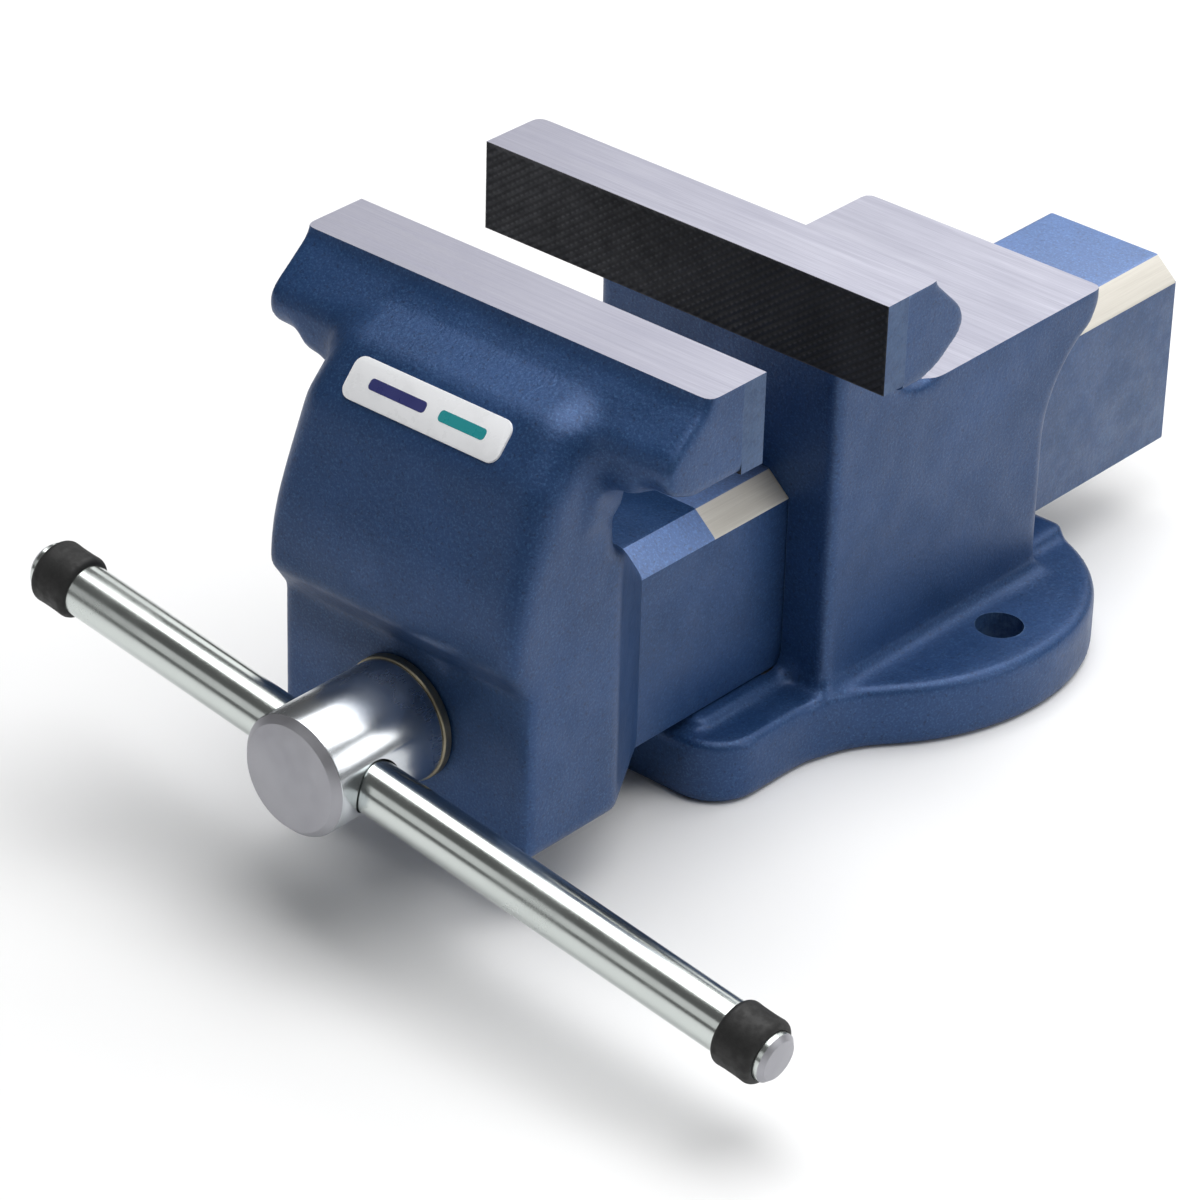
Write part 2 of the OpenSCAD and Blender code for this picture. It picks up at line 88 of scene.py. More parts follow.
FOOT_H = 21.0
BODY_HALF = 45.7
ANVIL_DROP = 58.0
ANVIL_Z = TOP - ANVIL_DROP
ANVIL_REAR = 145.5
NECK_FRONT = 18.0
NECK_REAR = 36.2
NECK_ROUND = 24.0
PAD_HALF_FRONT = 33.0
PAD_HALF_REAR = 40.0
SLIDE_HALF = 28.85
SLIDE_DROP = 79.0
SLIDE_TOP = TOP - SLIDE_DROP
SLIDE_BOTTOM = JAW_LOW[2]
SLIDE_CHAMFER = (8.0, 7.0)
COLUMN_HALF = 47.0
COLUMN_REAR = -24.0
WEDGE_TOP = -56.0
WEDGE_REAR = 6.7
COLUMN_BOTTOM = 25.0
WALL_FRONT = -61.5
WALL_REAR = -42.8
CAVITY_HALF = 19.5
CAVITY_FRONT = MOVING_FACE + WALL_REAR
CAVITY_ROOF = SLIDE_TOP - 13.0
GROUND_FROM = MOVING_FACE + 38.0
JOURNAL_R = (SHANK_HIGH[0] - SHANK_LOW[0]) / 2
HEAD_R = (HEAD_HIGH[0] - HEAD_LOW[0]) / 2
BOLT_X = 59.0
BOLT_HOLE_R = 7.5
NUT_Y = (NUT_LOW[1] + NUT_HIGH[1]) / 2
PAD_TOP = NUT_LOW[2]
BAR_R = 8.0
BAR_END_R = 7.4
THREAD_PITCH = 6.0
FAR = 400.0

# noses of the jaw castings behind their plates: centre, radius, lower rear edge, underside
FIXED_NOSE = ((29.2, -16.8), 7.0, 25.5, 30.5)
MOVING_NOSE = ((31.0, -18.6), 7.9, 28.0, PLATE_H)


# ---- outlines -----------------------------------------------------------------------

def arc(x, y, radius, start, stop, count=10):
    """Points along an arc, angles in degrees."""
    angles = np.radians(np.linspace(start, stop, count + 1))
    return [(x + radius * math.cos(a), y + radius * math.sin(a)) for a in angles]


def jaw_outline(nose, nose_r, heel, sole):
    """End view of a jaw behind its plate: back from the face, up from the jaw's top."""
    hollow = arc(31.2, 3.1, 9, 200, 235)
    return [(0.5, 4)] + [(hollow[0][0], 4)] + hollow + arc(*nose, nose_r, 50, -60) + [
        (heel, -PLATE_H), (heel - 7, -sole), (0.5, -sole)]


def mirrored(points):
    return points + [(-x, y) for x, y in reversed(points)]


def foot_outline():
    corner, web, tail_r, tail_a, foot_r, tongue = 16.0, 50.0, 54.0, 18.0, 77.5, 46.5
    tongue_front = -BODY_LOW[1]
    web_x = tongue + web
    web_y = -math.sqrt((foot_r + web) ** 2 - web_x ** 2)
    web_a = math.degrees(math.atan2(web_y, web_x))
    tail = foot_r - tail_r
    side = math.radians(tail_a)
    return mirrored(
        arc(tongue - corner, corner - tongue_front, corner, 270, 360)
        + arc(web_x, web_y, web, 180, 180 + web_a, 24)
        + arc(0, 0, foot_r, web_a, tail_a, 36)
        + arc(tail * math.cos(side), tail * math.sin(side), tail_r, tail_a + 2, 90, 36))


def body_outline():
    """Side view of the body's column, neck and anvil, from the fixed jaw's face and top."""
    rear, belly, foot, lip = 121.3, 35.8, 3 - TOP, 5
    return ([(NECK_FRONT, foot), (rear, foot)] + arc(rear + belly, -102, belly, 180, 115, 20)
            + [(ANVIL_REAR, -ANVIL_DROP - lip), (ANVIL_REAR, 3 - ANVIL_DROP), (64, 3 - ANVIL_DROP),
               (64, -ANVIL_DROP)]
            + arc(NECK_REAR + NECK_ROUND, NECK_ROUND - ANVIL_DROP, NECK_ROUND, 265, 180, 12)
            + [(NECK_REAR, -17), (NECK_FRONT, -17)])


def column_outline():
    """Side view of the moving column, back from the moving jaw's face."""
    chest, foot = 68.6, COLUMN_BOTTOM - TOP
    return ([(COLUMN_REAR, -20), (-34, -11)] + arc(-37.9, -23.5, 12, 100, 138, 8)
            + arc(-45.1, -34.6, 14, 138, 163, 6) + arc(70 - chest, -74, 70, 163, 180, 10)
            + arc(7 - chest, -77, 7, 180, 230, 8)
            + [(WALL_FRONT, -89), (WALL_FRONT, foot), (WEDGE_REAR, foot), (WEDGE_REAR, -SLIDE_DROP),
               (COLUMN_REAR, WEDGE_TOP)])


def column_plan():
    wide = JAW_HALF + 5
    return mirrored([(wide, -70), (wide, COLUMN_REAR), (COLUMN_HALF, COLUMN_REAR), (SLIDE_HALF, WEDGE_REAR)])


def slide_section(grow=0.0):
    """End view of the slide in x and z."""
    w, h = SLIDE_HALF + grow, SLIDE_TOP + grow
    c = SLIDE_CHAMFER
    return [(-w, SLIDE_BOTTOM - grow), (w, SLIDE_BOTTOM - grow), (w, h - c[1]), (w - c[0], h),
            (c[0] - w, h), (-w, h - c[1])]


# ---- distance fields for the castings -------------------------------------------------
# A field is negative inside. Fields take x, y and z arrays that broadcast together.

def polygon_distance(points, u, v):
    pts = np.array(points, float)
    u, v = np.broadcast_arrays(np.asarray(u, float), np.asarray(v, float))
    best = np.full(u.shape, 1e18)
    sign = np.ones(u.shape)
    for (ax, ay), (bx, by) in zip(pts, np.roll(pts, -1, axis=0)):
        ex, ey = bx - ax, by - ay
        wx, wy = u - ax, v - ay
        along = np.clip((wx * ex + wy * ey) / max(ex * ex + ey * ey, 1e-12), 0, 1)
        best = np.minimum(best, (wx - ex * along) ** 2 + (wy - ey * along) ** 2)
        above, below = v >= ay, v < by
        left = ex * wy > ey * wx
        flip = (above & below & left) | (~above & ~below & ~left)
        sign = np.where(flip, -sign, sign)
    return sign * np.sqrt(best)


def prism(flat, across, radius):
    """A flat distance and a distance across, joined with a rounded edge."""
    a, b = flat + radius, across + radius
    outside = np.sqrt(np.maximum(a, 0) ** 2 + np.maximum(b, 0) ** 2)
    return np.minimum(np.maximum(a, b), 0) + outside - radius


def slab(values, low, high):
    return np.maximum(low - values, values - high)


def blend_in(a, b, reach):
    """Union with a fillet."""
    h = np.clip(0.5 + 0.5 * (b - a) / reach, 0, 1)
    return b + (a - b) * h - reach * h * (1 - h)


def under_jaw(side, along, up, half, radius, low, high):
    """The round fillet in the corner under a jaw's overhang."""
    hollow = radius - np.hypot(side - half - radius, up + PLATE_H + radius)
    corner = np.maximum(slab(side, half - 3, half + radius), slab(up, -PLATE_H - radius, 3 - PLATE_H))
    return np.maximum(np.maximum(hollow, corner), slab(along, low, high))


def wedge_roof(side, back, up):
    """Above zero over the slanting roof that runs down into the slide's chamfer."""
    start = np.array([SLIDE_HALF - SLIDE_CHAMFER[0], WEDGE_REAR, -SLIDE_DROP])
    rise = np.array([COLUMN_HALF, COLUMN_REAR, WEDGE_TOP]) - start
    normal = np.cross(rise, [SLIDE_CHAMFER[0], 0, -SLIDE_CHAMFER[1]])
    normal /= np.linalg.norm(normal)
    roof = (side - start[0]) * normal[0] + (back - start[1]) * normal[1] + (up - start[2]) * normal[2]
    return np.minimum(roof, back - COLUMN_REAR)


def fixed_field(x, y, z):
    back, up, side = y - FIXED_FACE, z - TOP, np.abs(x)
    foot = prism(polygon_distance(foot_outline(), x, y), slab(z, 0, FOOT_H), 2.2)
    column = prism(polygon_distance(body_outline(), back, up), side - BODY_HALF, 1.5)
    jaw = prism(polygon_distance(jaw_outline(*FIXED_NOSE), back, up), side - JAW_HALF, 0.8)
    arch = under_jaw(side, back, up, BODY_HALF, 12, NECK_FRONT, 25)
    front_pad = prism(prism(side - PAD_HALF_FRONT, slab(back, -23, 30), 3), slab(z, 0, PAD_TOP), 0.8)
    rear_pad = prism(prism(side - PAD_HALF_REAR, slab(back, 90, 145), 3), slab(z, 0, PAD_TOP), 0.8)
    upper = np.minimum(blend_in(jaw, column, 6), arch)
    lower = blend_in(blend_in(foot, front_pad, 1.2), rear_pad, 1.2)
    return blend_in(upper, lower, 6)


def moving_field(x, y, z):
    back, up, side = y - MOVING_FACE, z - TOP, np.abs(x)
    jaw = prism(polygon_distance(jaw_outline(*MOVING_NOSE), -back, up), side - JAW_HALF, 0.8)
    corner = np.interp(z, [75, 85, 100, 120, 135, 150], [1.5, 3, 5, 8, 11, 13])
    column = prism(polygon_distance(column_outline(), back, up), side - COLUMN_HALF, corner)
    column = np.maximum(column, polygon_distance(column_plan(), x, back))
    column = np.maximum(column, wedge_roof(side, back, up))
    arch = under_jaw(side, back, up, COLUMN_HALF, 14, -38, COLUMN_REAR)
    return blend_in(jaw, np.minimum(blend_in(column, arch, 5), arch), 7)


def soften(values, passes):
    """Rounds every edge of a sampled field a little, and leaves flat faces where they are."""
    for _ in range(passes):
        for axis in range(3):
            padded = np.pad(values, [(1, 1) if k == axis else (0, 0) for k in range(3)], mode="edge")
            first, middle, last = (np.take(padded, range(k, k + values.shape[axis]), axis) for k in range(3))
            values = 0.25 * first + 0.5 * middle + 0.25 * last
    return values


def surface_of(field, low, high, step, passes):
    """Vertices and quads of a field's zero surface, one vertex in each cell that it crosses."""
    axes = [np.arange(low[k] - 3 * step, high[k] + 3.5 * step, step) for k in range(3)]
    grid = field(axes[0][:, None, None], axes[1][None, :, None], axes[2][None, None, :])
    shape = tuple(len(a) for a in axes)
    grid = soften(np.broadcast_to(grid, shape).astype(np.float32), passes)
    inside = grid < 0
    cells = tuple(n - 1 for n in shape)
    total = np.zeros(cells + (3,), np.float32)
    count = np.zeros(cells, np.float32)
    crossings = []
    for axis in range(3):
        near = [slice(None)] * 3
        far = [slice(None)] * 3
        near[axis], far[axis] = slice(0, -1), slice(1, None)
        a, b = grid[tuple(near)], grid[tuple(far)]
        crossed = inside[tuple(near)] != inside[tuple(far)]
        crossings.append((axis, crossed, inside[tuple(near)]))
        share = np.where(crossed, a / np.where(crossed, a - b, 1), 0)
        others = [k for k in range(3) if k != axis]
        for d0 in (0, 1):
            for d1 in (0, 1):
                pick = [slice(None)] * 3
                pick[others[0]] = slice(d0, d0 + cells[others[0]])
                pick[others[1]] = slice(d1, d1 + cells[others[1]])
                hit = crossed[tuple(pick)]
                count += hit
                total[..., axis] += np.where(hit, share[tuple(pick)], 0)
                total[..., others[0]] += hit * d0
                total[..., others[1]] += hit * d1
    used = count > 0
    index = np.full(cells, -1, np.int64)
    index[used] = np.arange(used.sum())
    origin = np.array([a[0] for a in axes])
    corner = np.stack(np.nonzero(used), axis=1)
    points = origin + step * (corner + total[used] / count[used][:, None])
    quads = []
    for axis, crossed, starts_inside in crossings:
        b, c = [(1, 2), (2, 0), (0, 1)][axis]
        pick = [slice(None)] * 3
        pick[b], pick[c] = slice(1, -1), slice(1, -1)
        at = np.stack(np.nonzero(crossed[tuple(pick)]), axis=1)
        at[:, b] += 1
        at[:, c] += 1
        ring = []
        for db, dc in ((-1, -1), (0, -1), (0, 0), (-1, 0)):
            cell = at.copy()
            cell[:, b] += db
            cell[:, c] += dc
            ring.append(index[cell[:, 0], cell[:, 1], cell[:, 2]])
        ring = np.stack(ring, axis=1)
        outward = starts_inside[at[:, 0], at[:, 1], at[:, 2]]
        quads.append(np.where(outward[:, None], ring, ring[:, ::-1]))
    return points, np.concatenate(quads)


# ---- meshes -------------------------------------------------------------------------

def make_object(name, points, faces, smooth_deg=35):
    """A mesh object from points in millimetres."""
    mesh = bpy.data.meshes.new(name)
    mesh.from_pydata((np.asarray(points, float) * MM).tolist(), [], [list(map(int, f)) for f in faces])
    mesh.validate()
    made = bpy.data.objects.new(name, mesh)
    bpy.context.scene.collection.objects.link(made)
    smooth(made, smooth_deg)
    return made


def smooth(made, angle_deg):
    made.data.polygons.foreach_set("use_smooth", [True] * len(made.data.polygons))
    made.data.set_sharp_from_angle(angle=math.radians(angle_deg))
    return made


def extruded(name, outline, low, high, axis):
    """A prism: the outline lies across the given axis (0, 1 or 2), in the order of the other axes."""
    others = [k for k in range(3) if k != axis]
    area = sum(a[0] * b[1] - b[0] * a[1] for a, b in zip(outline, outline[1:] + outline[:1]))
    if (area > 0) != (axis != 1):
        outline = outline[::-1]
    points = []
    for level in (low, high):
        for a, b in outline:
            p = [0.0, 0.0, 0.0]
            p[others[0]], p[others[1]], p[axis] = a, b, level
            points.append(p)
    n = len(outline)
    faces = [list(range(n))[::-1], list(range(n, 2 * n))]
    faces += [[i, (i + 1) % n, n + (i + 1) % n, n + i] for i in range(n)]
    return make_object(name, points, faces)


def block(name, low, high):
    return extruded(name, [(low[0], low[1]), (high[0], low[1]), (high[0], high[1]), (low[0], high[1])],
                    low[2], high[2], 2)


def lathe(name, profile, segments=128, smooth_deg=35):
    """A closed profile of [radius, along] points turned about +Z. Points on the axis are single."""
    points, rings = [], []
    for radius, along in profile:
        if radius < 1e-6:
            rings.append([len(points)])
            points.append((0, 0, along))
        else:
            rings.append(list(range(len(points), len(points) + segments)))
            points += [(radius * math.cos(2 * math.pi * k / segments),
                        radius * math.sin(2 * math.pi * k / segments), along) for k in range(segments)]
    faces = []
    for lower, upper in zip(rings, rings[1:] + rings[:1]):
        for k in range(segments):
            n = (k + 1) % segments
            if len(lower) == 1 and len(upper) == 1:
                break
            if len(lower) == 1:
                faces.append([lower[0], upper[n], upper[k]])
            elif len(upper) == 1:
                faces.append([lower[k], lower[n], upper[0]])
            else:
                faces.append([lower[k], lower[n], upper[n], upper[k]])
    return make_object(name, points, faces, smooth_deg)


def place(made, origin, direction):
    """Turns +Z to a direction and moves the object's origin to a point, in the mesh itself."""
    turn = Vector((0, 0, 1)).rotation_difference(Vector(direction)).to_matrix().to_4x4()
    made.data.transform(Matrix.Translation(Vector(origin) * MM) @ turn)
    return made


def on_spindle(made, y):
    return place(made, (0, y, AXIS_Z), (0, 1, 0))


def on_handle(made):
    return place(made, HANDLE_POINT, HANDLE_AXIS)


def cut_away(made, *cutters):
    """Takes the cutters out of a mesh, then removes the cutters."""
    for cutter in cutters:
        change = made.modifiers.new("cut", "BOOLEAN")
        change.operation = "DIFFERENCE"
        change.solver = "MANIFOLD"
        change.object = cutter
        bpy.context.view_layer.objects.active = made
        made.select_set(True)
        bpy.ops.object.modifier_apply(modifier=change.name)
        mesh = cutter.data
        bpy.data.objects.remove(cutter)
        bpy.data.meshes.remove(mesh)
    return made


def bevel(made, width, segments=2, angle_deg=35):
    change = made.modifiers.new("edge", "BEVEL")
    change.width = width * MM
    change.segments = segments
    change.limit_method = "ANGLE"
    change.angle_limit = math.radians(angle_deg)
    change.harden_normals = False
    bpy.context.view_layer.objects.active = made
    bpy.ops.object.modifier_apply(modifier=change.name)
    return smooth(made, 40)


def paint_faces(made, choose):
    """choose gets each face's centre (mm) and normal as arrays and returns its material's number."""
    n = len(made.data.polygons)
    centre, normal = np.zeros(n * 3), np.zeros(n * 3)
    made.data.polygons.foreach_get("center", centre)
    made.data.polygons.foreach_get("normal", normal)
    index = choose(centre.reshape(-1, 3) / MM, normal.reshape(-1, 3))
    made.data.polygons.foreach_set("material_index", index.astype(np.int32))
    work = bmesh.new()
    work.from_mesh(made.data)
    for edge in work.edges:
        if len({face.material_index for face in edge.link_faces}) > 1:
            edge.smooth = False
    work.to_mesh(made.data)
    work.free()


# ---- materials ----------------------------------------------------------------------

class Nodes:
    """A material's node tree with short helpers."""

    def __init__(self, name):
        self.material = bpy.data.materials.new(name)
        self.material.use_nodes = True
        self.tree = self.material.node_tree
        self.shader = self.tree.nodes["Principled BSDF"]
        self.place = self.tree.nodes.new("ShaderNodeTexCoord").outputs["Object"]

    def link(self, source, target):
        self.tree.links.new(source, target)

    def stretched(self, scale):
        mapping = self.tree.nodes.new("ShaderNodeMapping")
        mapping.inputs["Scale"].default_value = scale
        self.link(self.place, mapping.inputs["Vector"])
        return mapping.outputs["Vector"]

    def noise(self, scale, detail=3.0, roughness=0.55, stretch=(1, 1, 1)):
        made = self.tree.nodes.new("ShaderNodeTexNoise")
        made.inputs["Scale"].default_value = scale
        made.inputs["Detail"].default_value = detail
        made.inputs["Roughness"].default_value = roughness
        self.link(self.stretched(stretch), made.inputs["Vector"])
        return made.outputs["Fac"]

    def cells(self, scale, feature="F1", stretch=(1, 1, 1)):
        made = self.tree.nodes.new("ShaderNodeTexVoronoi")
        made.feature = feature
        made.inputs["Scale"].default_value = scale
        self.link(self.stretched(stretch), made.inputs["Vector"])
        return made.outputs["Distance"]

    def ramp(self, value, low, high, from_value=0.0, to_value=1.0):
        made = self.tree.nodes.new("ShaderNodeMapRange")
        made.interpolation_type = "SMOOTHSTEP"
        made.inputs["From Min"].default_value = low
        made.inputs["From Max"].default_value = high
        made.inputs["To Min"].default_value = from_value
        made.inputs["To Max"].default_value = to_value
        self.link(value, made.inputs["Value"])
        return made.outputs["Result"]

    def maths(self, operation, a, b):
        made = self.tree.nodes.new("ShaderNodeMath")
        made.operation = operation
        for socket, value in zip(made.inputs, (a, b)):
            if isinstance(value, (int, float)):
                socket.default_value = value
            else:
                self.link(value, socket)
        return made.outputs[0]

    def mix(self, amount, a, b):
        made = self.tree.nodes.new("ShaderNodeMix")
        made.data_type = "RGBA"
        sockets = [s for s in made.inputs if s.enabled]
        for socket, value in zip(sockets, (amount, a, b)):
            if isinstance(value, tuple):
                socket.default_value = (*value, 1.0)
            elif isinstance(value, (int, float)):
                socket.default_value = value
            else:
                self.link(value, socket)
        return next(s for s in made.outputs if s.enabled)

    def bump(self, height, strength, distance_mm, under=None):
        made = self.tree.nodes.new("ShaderNodeBump")
        made.inputs["Strength"].default_value = strength
        made.inputs["Distance"].default_value = distance_mm * MM
        self.link(height, made.inputs["Height"])
        if under is not None:
            self.link(under, made.inputs["Normal"])
        return made.outputs["Normal"]

    def edges(self, low=0.52, high=0.6):
        """Where the surface turns sharply outwards, from 0 to 1."""
        geometry = self.tree.nodes.new("ShaderNodeNewGeometry")
        return self.ramp(geometry.outputs["Pointiness"], low, high)

    def hollows(self, low=0.49, high=0.44):
        geometry = self.tree.nodes.new("ShaderNodeNewGeometry")
        return self.ramp(geometry.outputs["Pointiness"], high, low, 1.0, 0.0)

    def finish(self, color, roughness, normal=None, metallic=0.0, **constants):
        for name, value in (("Base Color", color), ("Roughness", roughness), ("Normal", normal)):
            if value is None:
                continue
            if isinstance(value, tuple):
                self.shader.inputs[name].default_value = (*value, 1.0)
            elif isinstance(value, (int, float)):
                self.shader.inputs[name].default_value = value
            else:
                self.link(value, self.shader.inputs[name])
        self.shader.inputs["Metallic"].default_value = metallic
        for name, value in constants.items():
            self.shader.inputs[name.replace("_", " ")].default_value = value
        return self.material


def blue_paint(name, edge_wear_and_highlight, tone=1.0, pale=0.0):
    """Textured blue enamel: fine speckle and peel, cloudy tone, pale edges that are partly chipped paint and
    partly painted highlight, and painted shade in the hollows.
    """
    def shade(*color):
        return tuple(tone * c + pale * (1 - c) for c in color)

    n = Nodes(name)
    clouds = n.ramp(n.noise(28, 4), 0.3, 0.7)
    flecks = n.ramp(n.noise(1400, 2, 0.6), 0.45, 0.75)
    pits = n.ramp(n.noise(900, 2, 0.6), 0.25, 0.45, 1.0, 0.0)
    base = n.mix(clouds, shade(0.014, 0.048, 0.140), shade(0.018, 0.060, 0.175))
    base = n.mix(n.maths("MULTIPLY", flecks, 0.6), base, shade(0.045, 0.120, 0.270))
    base = n.mix(n.maths("MULTIPLY", pits, 0.6), base, shade(0.008, 0.020, 0.060))
    # pale edges: partly chipped paint, partly a painted highlight along the outward edges
    pale_edges = n.maths("MULTIPLY", n.edges(0.52, 0.60), n.ramp(n.noise(260, 3), 0.42, 0.62, 0.2, edge_wear_and_highlight))
    base = n.mix(pale_edges, base, (0.14, 0.24, 0.40))
    # painted shade: hollows and inner fillets darkened towards deep navy
    painted_hollow_shade = n.maths("MULTIPLY", n.hollows(), 0.5)
    base = n.mix(painted_hollow_shade, base, (0.008, 0.020, 0.055))
    peel = n.bump(n.noise(650, 2, 0.5), 0.35, 0.35)
    normal = n.bump(n.noise(1700, 2, 0.6), 0.3, 0.14, peel)
    roughness = n.ramp(n.noise(90, 3), 0.3, 0.7, 0.38, 0.50)
    return n.finish(base, roughness, normal, 0.4, Coat_Weight=0.08, Coat_Roughness=0.25)


def ground_steel(name, along, light, dark, roughness=(0.30, 0.46), metallic=1.0):
    """A ground face with fine lines along one direction, cloudy and slightly soiled."""
    n = Nodes(name)
    lines = n.noise(2600, 3, 0.6, tuple(0.02 if k == along else 1.0 for k in range(3)))
    bands = n.noise(420, 3, 0.5, tuple(0.04 if k == along else 1.0 for k in range(3)))
    clouds = n.ramp(n.noise(22, 4), 0.3, 0.7)
    tone = n.maths("ADD", n.maths("MULTIPLY", lines, 0.5), n.maths("MULTIPLY", bands, 0.5))
    base = n.mix(n.ramp(tone, 0.2, 0.8), dark, light)
    base = n.mix(n.maths("MULTIPLY", clouds, 0.3), base, dark)
    rough = n.ramp(tone, 0.3, 0.7, roughness[1], roughness[0])
    normal = n.bump(lines, 0.2, 0.04)
    return n.finish(base, rough, normal, metallic)


def black_serrated():
    """Hard blackened steel, brighter on the tips of the serrations."""
    n = Nodes("serrated steel")
    tips = n.maths("MULTIPLY", n.edges(0.51, 0.57), n.ramp(n.noise(120, 3), 0.35, 0.65, 0.2, 0.8))
    base = n.mix(n.ramp(n.noise(45, 4), 0.3, 0.7), (0.016, 0.017, 0.021), (0.030, 0.031, 0.037))
    base = n.mix(tips, base, (0.09, 0.09, 0.10))
    normal = n.bump(n.noise(1800, 3), 0.2, 0.08)
    return n.finish(base, n.ramp(n.noise(300, 3), 0.3, 0.7, 0.45, 0.62), normal, 0.6)


def plated(name, tone, roughness, lines=0.1, stretch=(1, 1, 1)):
    """Bright plate with faint polishing lines and small cloudy marks."""
    n = Nodes(name)
    marks = n.ramp(n.noise(30, 3), 0.3, 0.8)
    fine = n.noise(1700, 3, 0.6, stretch)
    dull = tuple(0.8 * c for c in tone)
    base = n.mix(n.maths("MULTIPLY", marks, 0.2), tone, dull)
    rough = n.maths("ADD", n.ramp(marks, 0, 1, roughness[0], roughness[1]),
                    n.maths("MULTIPLY", fine, 0.05))
    return n.finish(base, rough, n.bump(fine, lines, 0.03), 1.0)


def turned_face():
    """The lathe-faced end of the spindle head: fine rings about its axis."""
    n = Nodes("turned face")
    apart = n.tree.nodes.new("ShaderNodeSeparateXYZ")
    n.link(n.place, apart.inputs[0])
    across = n.maths("POWER", apart.outputs["X"], 2.0)
    up = n.maths("POWER", n.maths("SUBTRACT", apart.outputs["Z"], AXIS_Z * MM), 2.0)
    radius = n.maths("SQRT", n.maths("ADD", across, up), 0.0)
    rings = n.maths("SINE", n.maths("MULTIPLY", radius, 16000.0), 0.0)
    clouds = n.ramp(n.noise(60, 4), 0.3, 0.7)
    base = n.mix(clouds, (0.36, 0.36, 0.39), (0.42, 0.42, 0.45))
    normal = n.bump(rings, 0.06, 0.03)
    return n.finish(base, n.ramp(n.noise(240, 3), 0.3, 0.7, 0.42, 0.52), normal, 0.9)


def plain_steel(name, light, dark, roughness=(0.28, 0.45)):
    n = Nodes(name)
    clouds = n.ramp(n.noise(70, 4), 0.3, 0.7)
    pale_edges = n.maths("MULTIPLY", n.edges(0.52, 0.6), 0.5)
    base = n.mix(pale_edges, n.mix(clouds, dark, light), tuple(min(1.0, 1.3 * c) for c in light))
    normal = n.bump(n.noise(900, 3), 0.12, 0.06)
    return n.finish(base, n.ramp(n.noise(150, 3), 0.3, 0.7, *roughness), normal, 1.0)


def black_rubber():
    n = Nodes("black rubber")
    clouds = n.ramp(n.noise(120, 4), 0.3, 0.7)
    base = n.mix(clouds, (0.006, 0.006, 0.006), (0.013, 0.013, 0.013))
    base = n.mix(n.maths("MULTIPLY", n.edges(0.52, 0.6), 0.4), base, (0.05, 0.05, 0.05))
    grain = n.bump(n.noise(1600, 3, 0.6), 0.4, 0.12)
    normal = n.bump(n.cells(900), 0.15, 0.08, grain)
    return n.finish(base, n.ramp(n.noise(400, 3), 0.3, 0.7, 0.55, 0.75), normal)


def badge_paint(name, color):
    n = Nodes(name)
    soiled = n.ramp(n.noise(130, 4), 0.45, 0.75)
    dirty = tuple(0.86 * c for c in color)
    base = n.mix(n.maths("MULTIPLY", soiled, 0.5), color, dirty)
    base = n.mix(n.maths("MULTIPLY", n.edges(0.53, 0.6), 0.3), base, dirty)
    normal = n.bump(n.noise(1200, 2), 0.05, 0.05)
    return n.finish(base, n.ramp(n.noise(200, 3), 0.3, 0.7, 0.25, 0.38), normal)


PAINT = blue_paint("blue paint", 0.7)
PLATE_END = blue_paint("blue plate end", 0.1, 0.8)
# A lighter, paler copy of the blue paint: partly thin paint, partly a painted sheen for up-facing faces that
# catch the light
PAINT_THIN_AND_SHEEN = blue_paint("thin blue paint with painted sheen", 0.3, 2.5, 0.12)
GROUND_TOP = ground_steel("ground top", 0, (0.62, 0.62, 0.71), (0.40, 0.40, 0.49),
                          (0.34, 0.46), 0.6)
GROUND_SLIDE = ground_steel("ground chamfer", 1, (0.76, 0.73, 0.66), (0.60, 0.57, 0.51), (0.4, 0.55), 0.25)
BORE_STEEL = ground_steel("bored iron", 1, (0.45, 0.45, 0.46), (0.30, 0.30, 0.31))
SERRATED = black_serrated()
CHROME = plated("plated bar", (0.62, 0.66, 0.64), (0.16, 0.26))
HEAD_PLATE = plated("plated head", (0.64, 0.67, 0.70), (0.20, 0.30), 0.15, (1, 0.1, 1))
HEAD_FACE = turned_face()
SCREW_STEEL = plain_steel("screw steel", (0.55, 0.56, 0.58), (0.40, 0.41, 0.43))
DARK_STEEL = plain_steel("dark steel", (0.10, 0.10, 0.11), (0.05, 0.05, 0.055), (0.4, 0.55))
BRONZE = plain_steel("bronze", (0.62, 0.50, 0.26), (0.45, 0.36, 0.18), (0.3, 0.48))
RUBBER = black_rubber()
WASHER_STEEL = plain_steel("washer steel", (0.42, 0.37, 0.26), (0.30, 0.27, 0.20), (0.3, 0.48))
BADGE_WHITE = badge_paint("badge white", (0.86, 0.87, 0.89))
BADGE_NAVY = badge_paint("badge navy", (0.035, 0.04, 0.16))
BADGE_TEAL = badge_paint("badge teal", (0.02, 0.28, 0.30))


def give(made, *materials):
    made.data.materials.clear()
    for m in materials:
        made.data.materials.append(m)
    return made


def attach(made, body, slot, *nodes):
    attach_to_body(made, body)
    if nodes:
        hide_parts(*nodes)
    return made


# ---- the fixed body -------------------------------------------------------------------

def cylinder(name, radius, length, segments=96):
    return lathe(name, [(0, 0), (radius, 0), (radius, length), (0, length)], segments)


def round_cutter(x, y, radius, low, high):
    return place(cylinder("cutter", radius, high - low), (x, y, low), (0, 0, 1))


def machined_tops(centre, normal, levels):
    top = np.zeros(len(centre), bool)
    for level in levels:
        top |= (normal[:, 2] > 0.98) & (np.abs(centre[:, 2] - level) < 0.03)
    return top


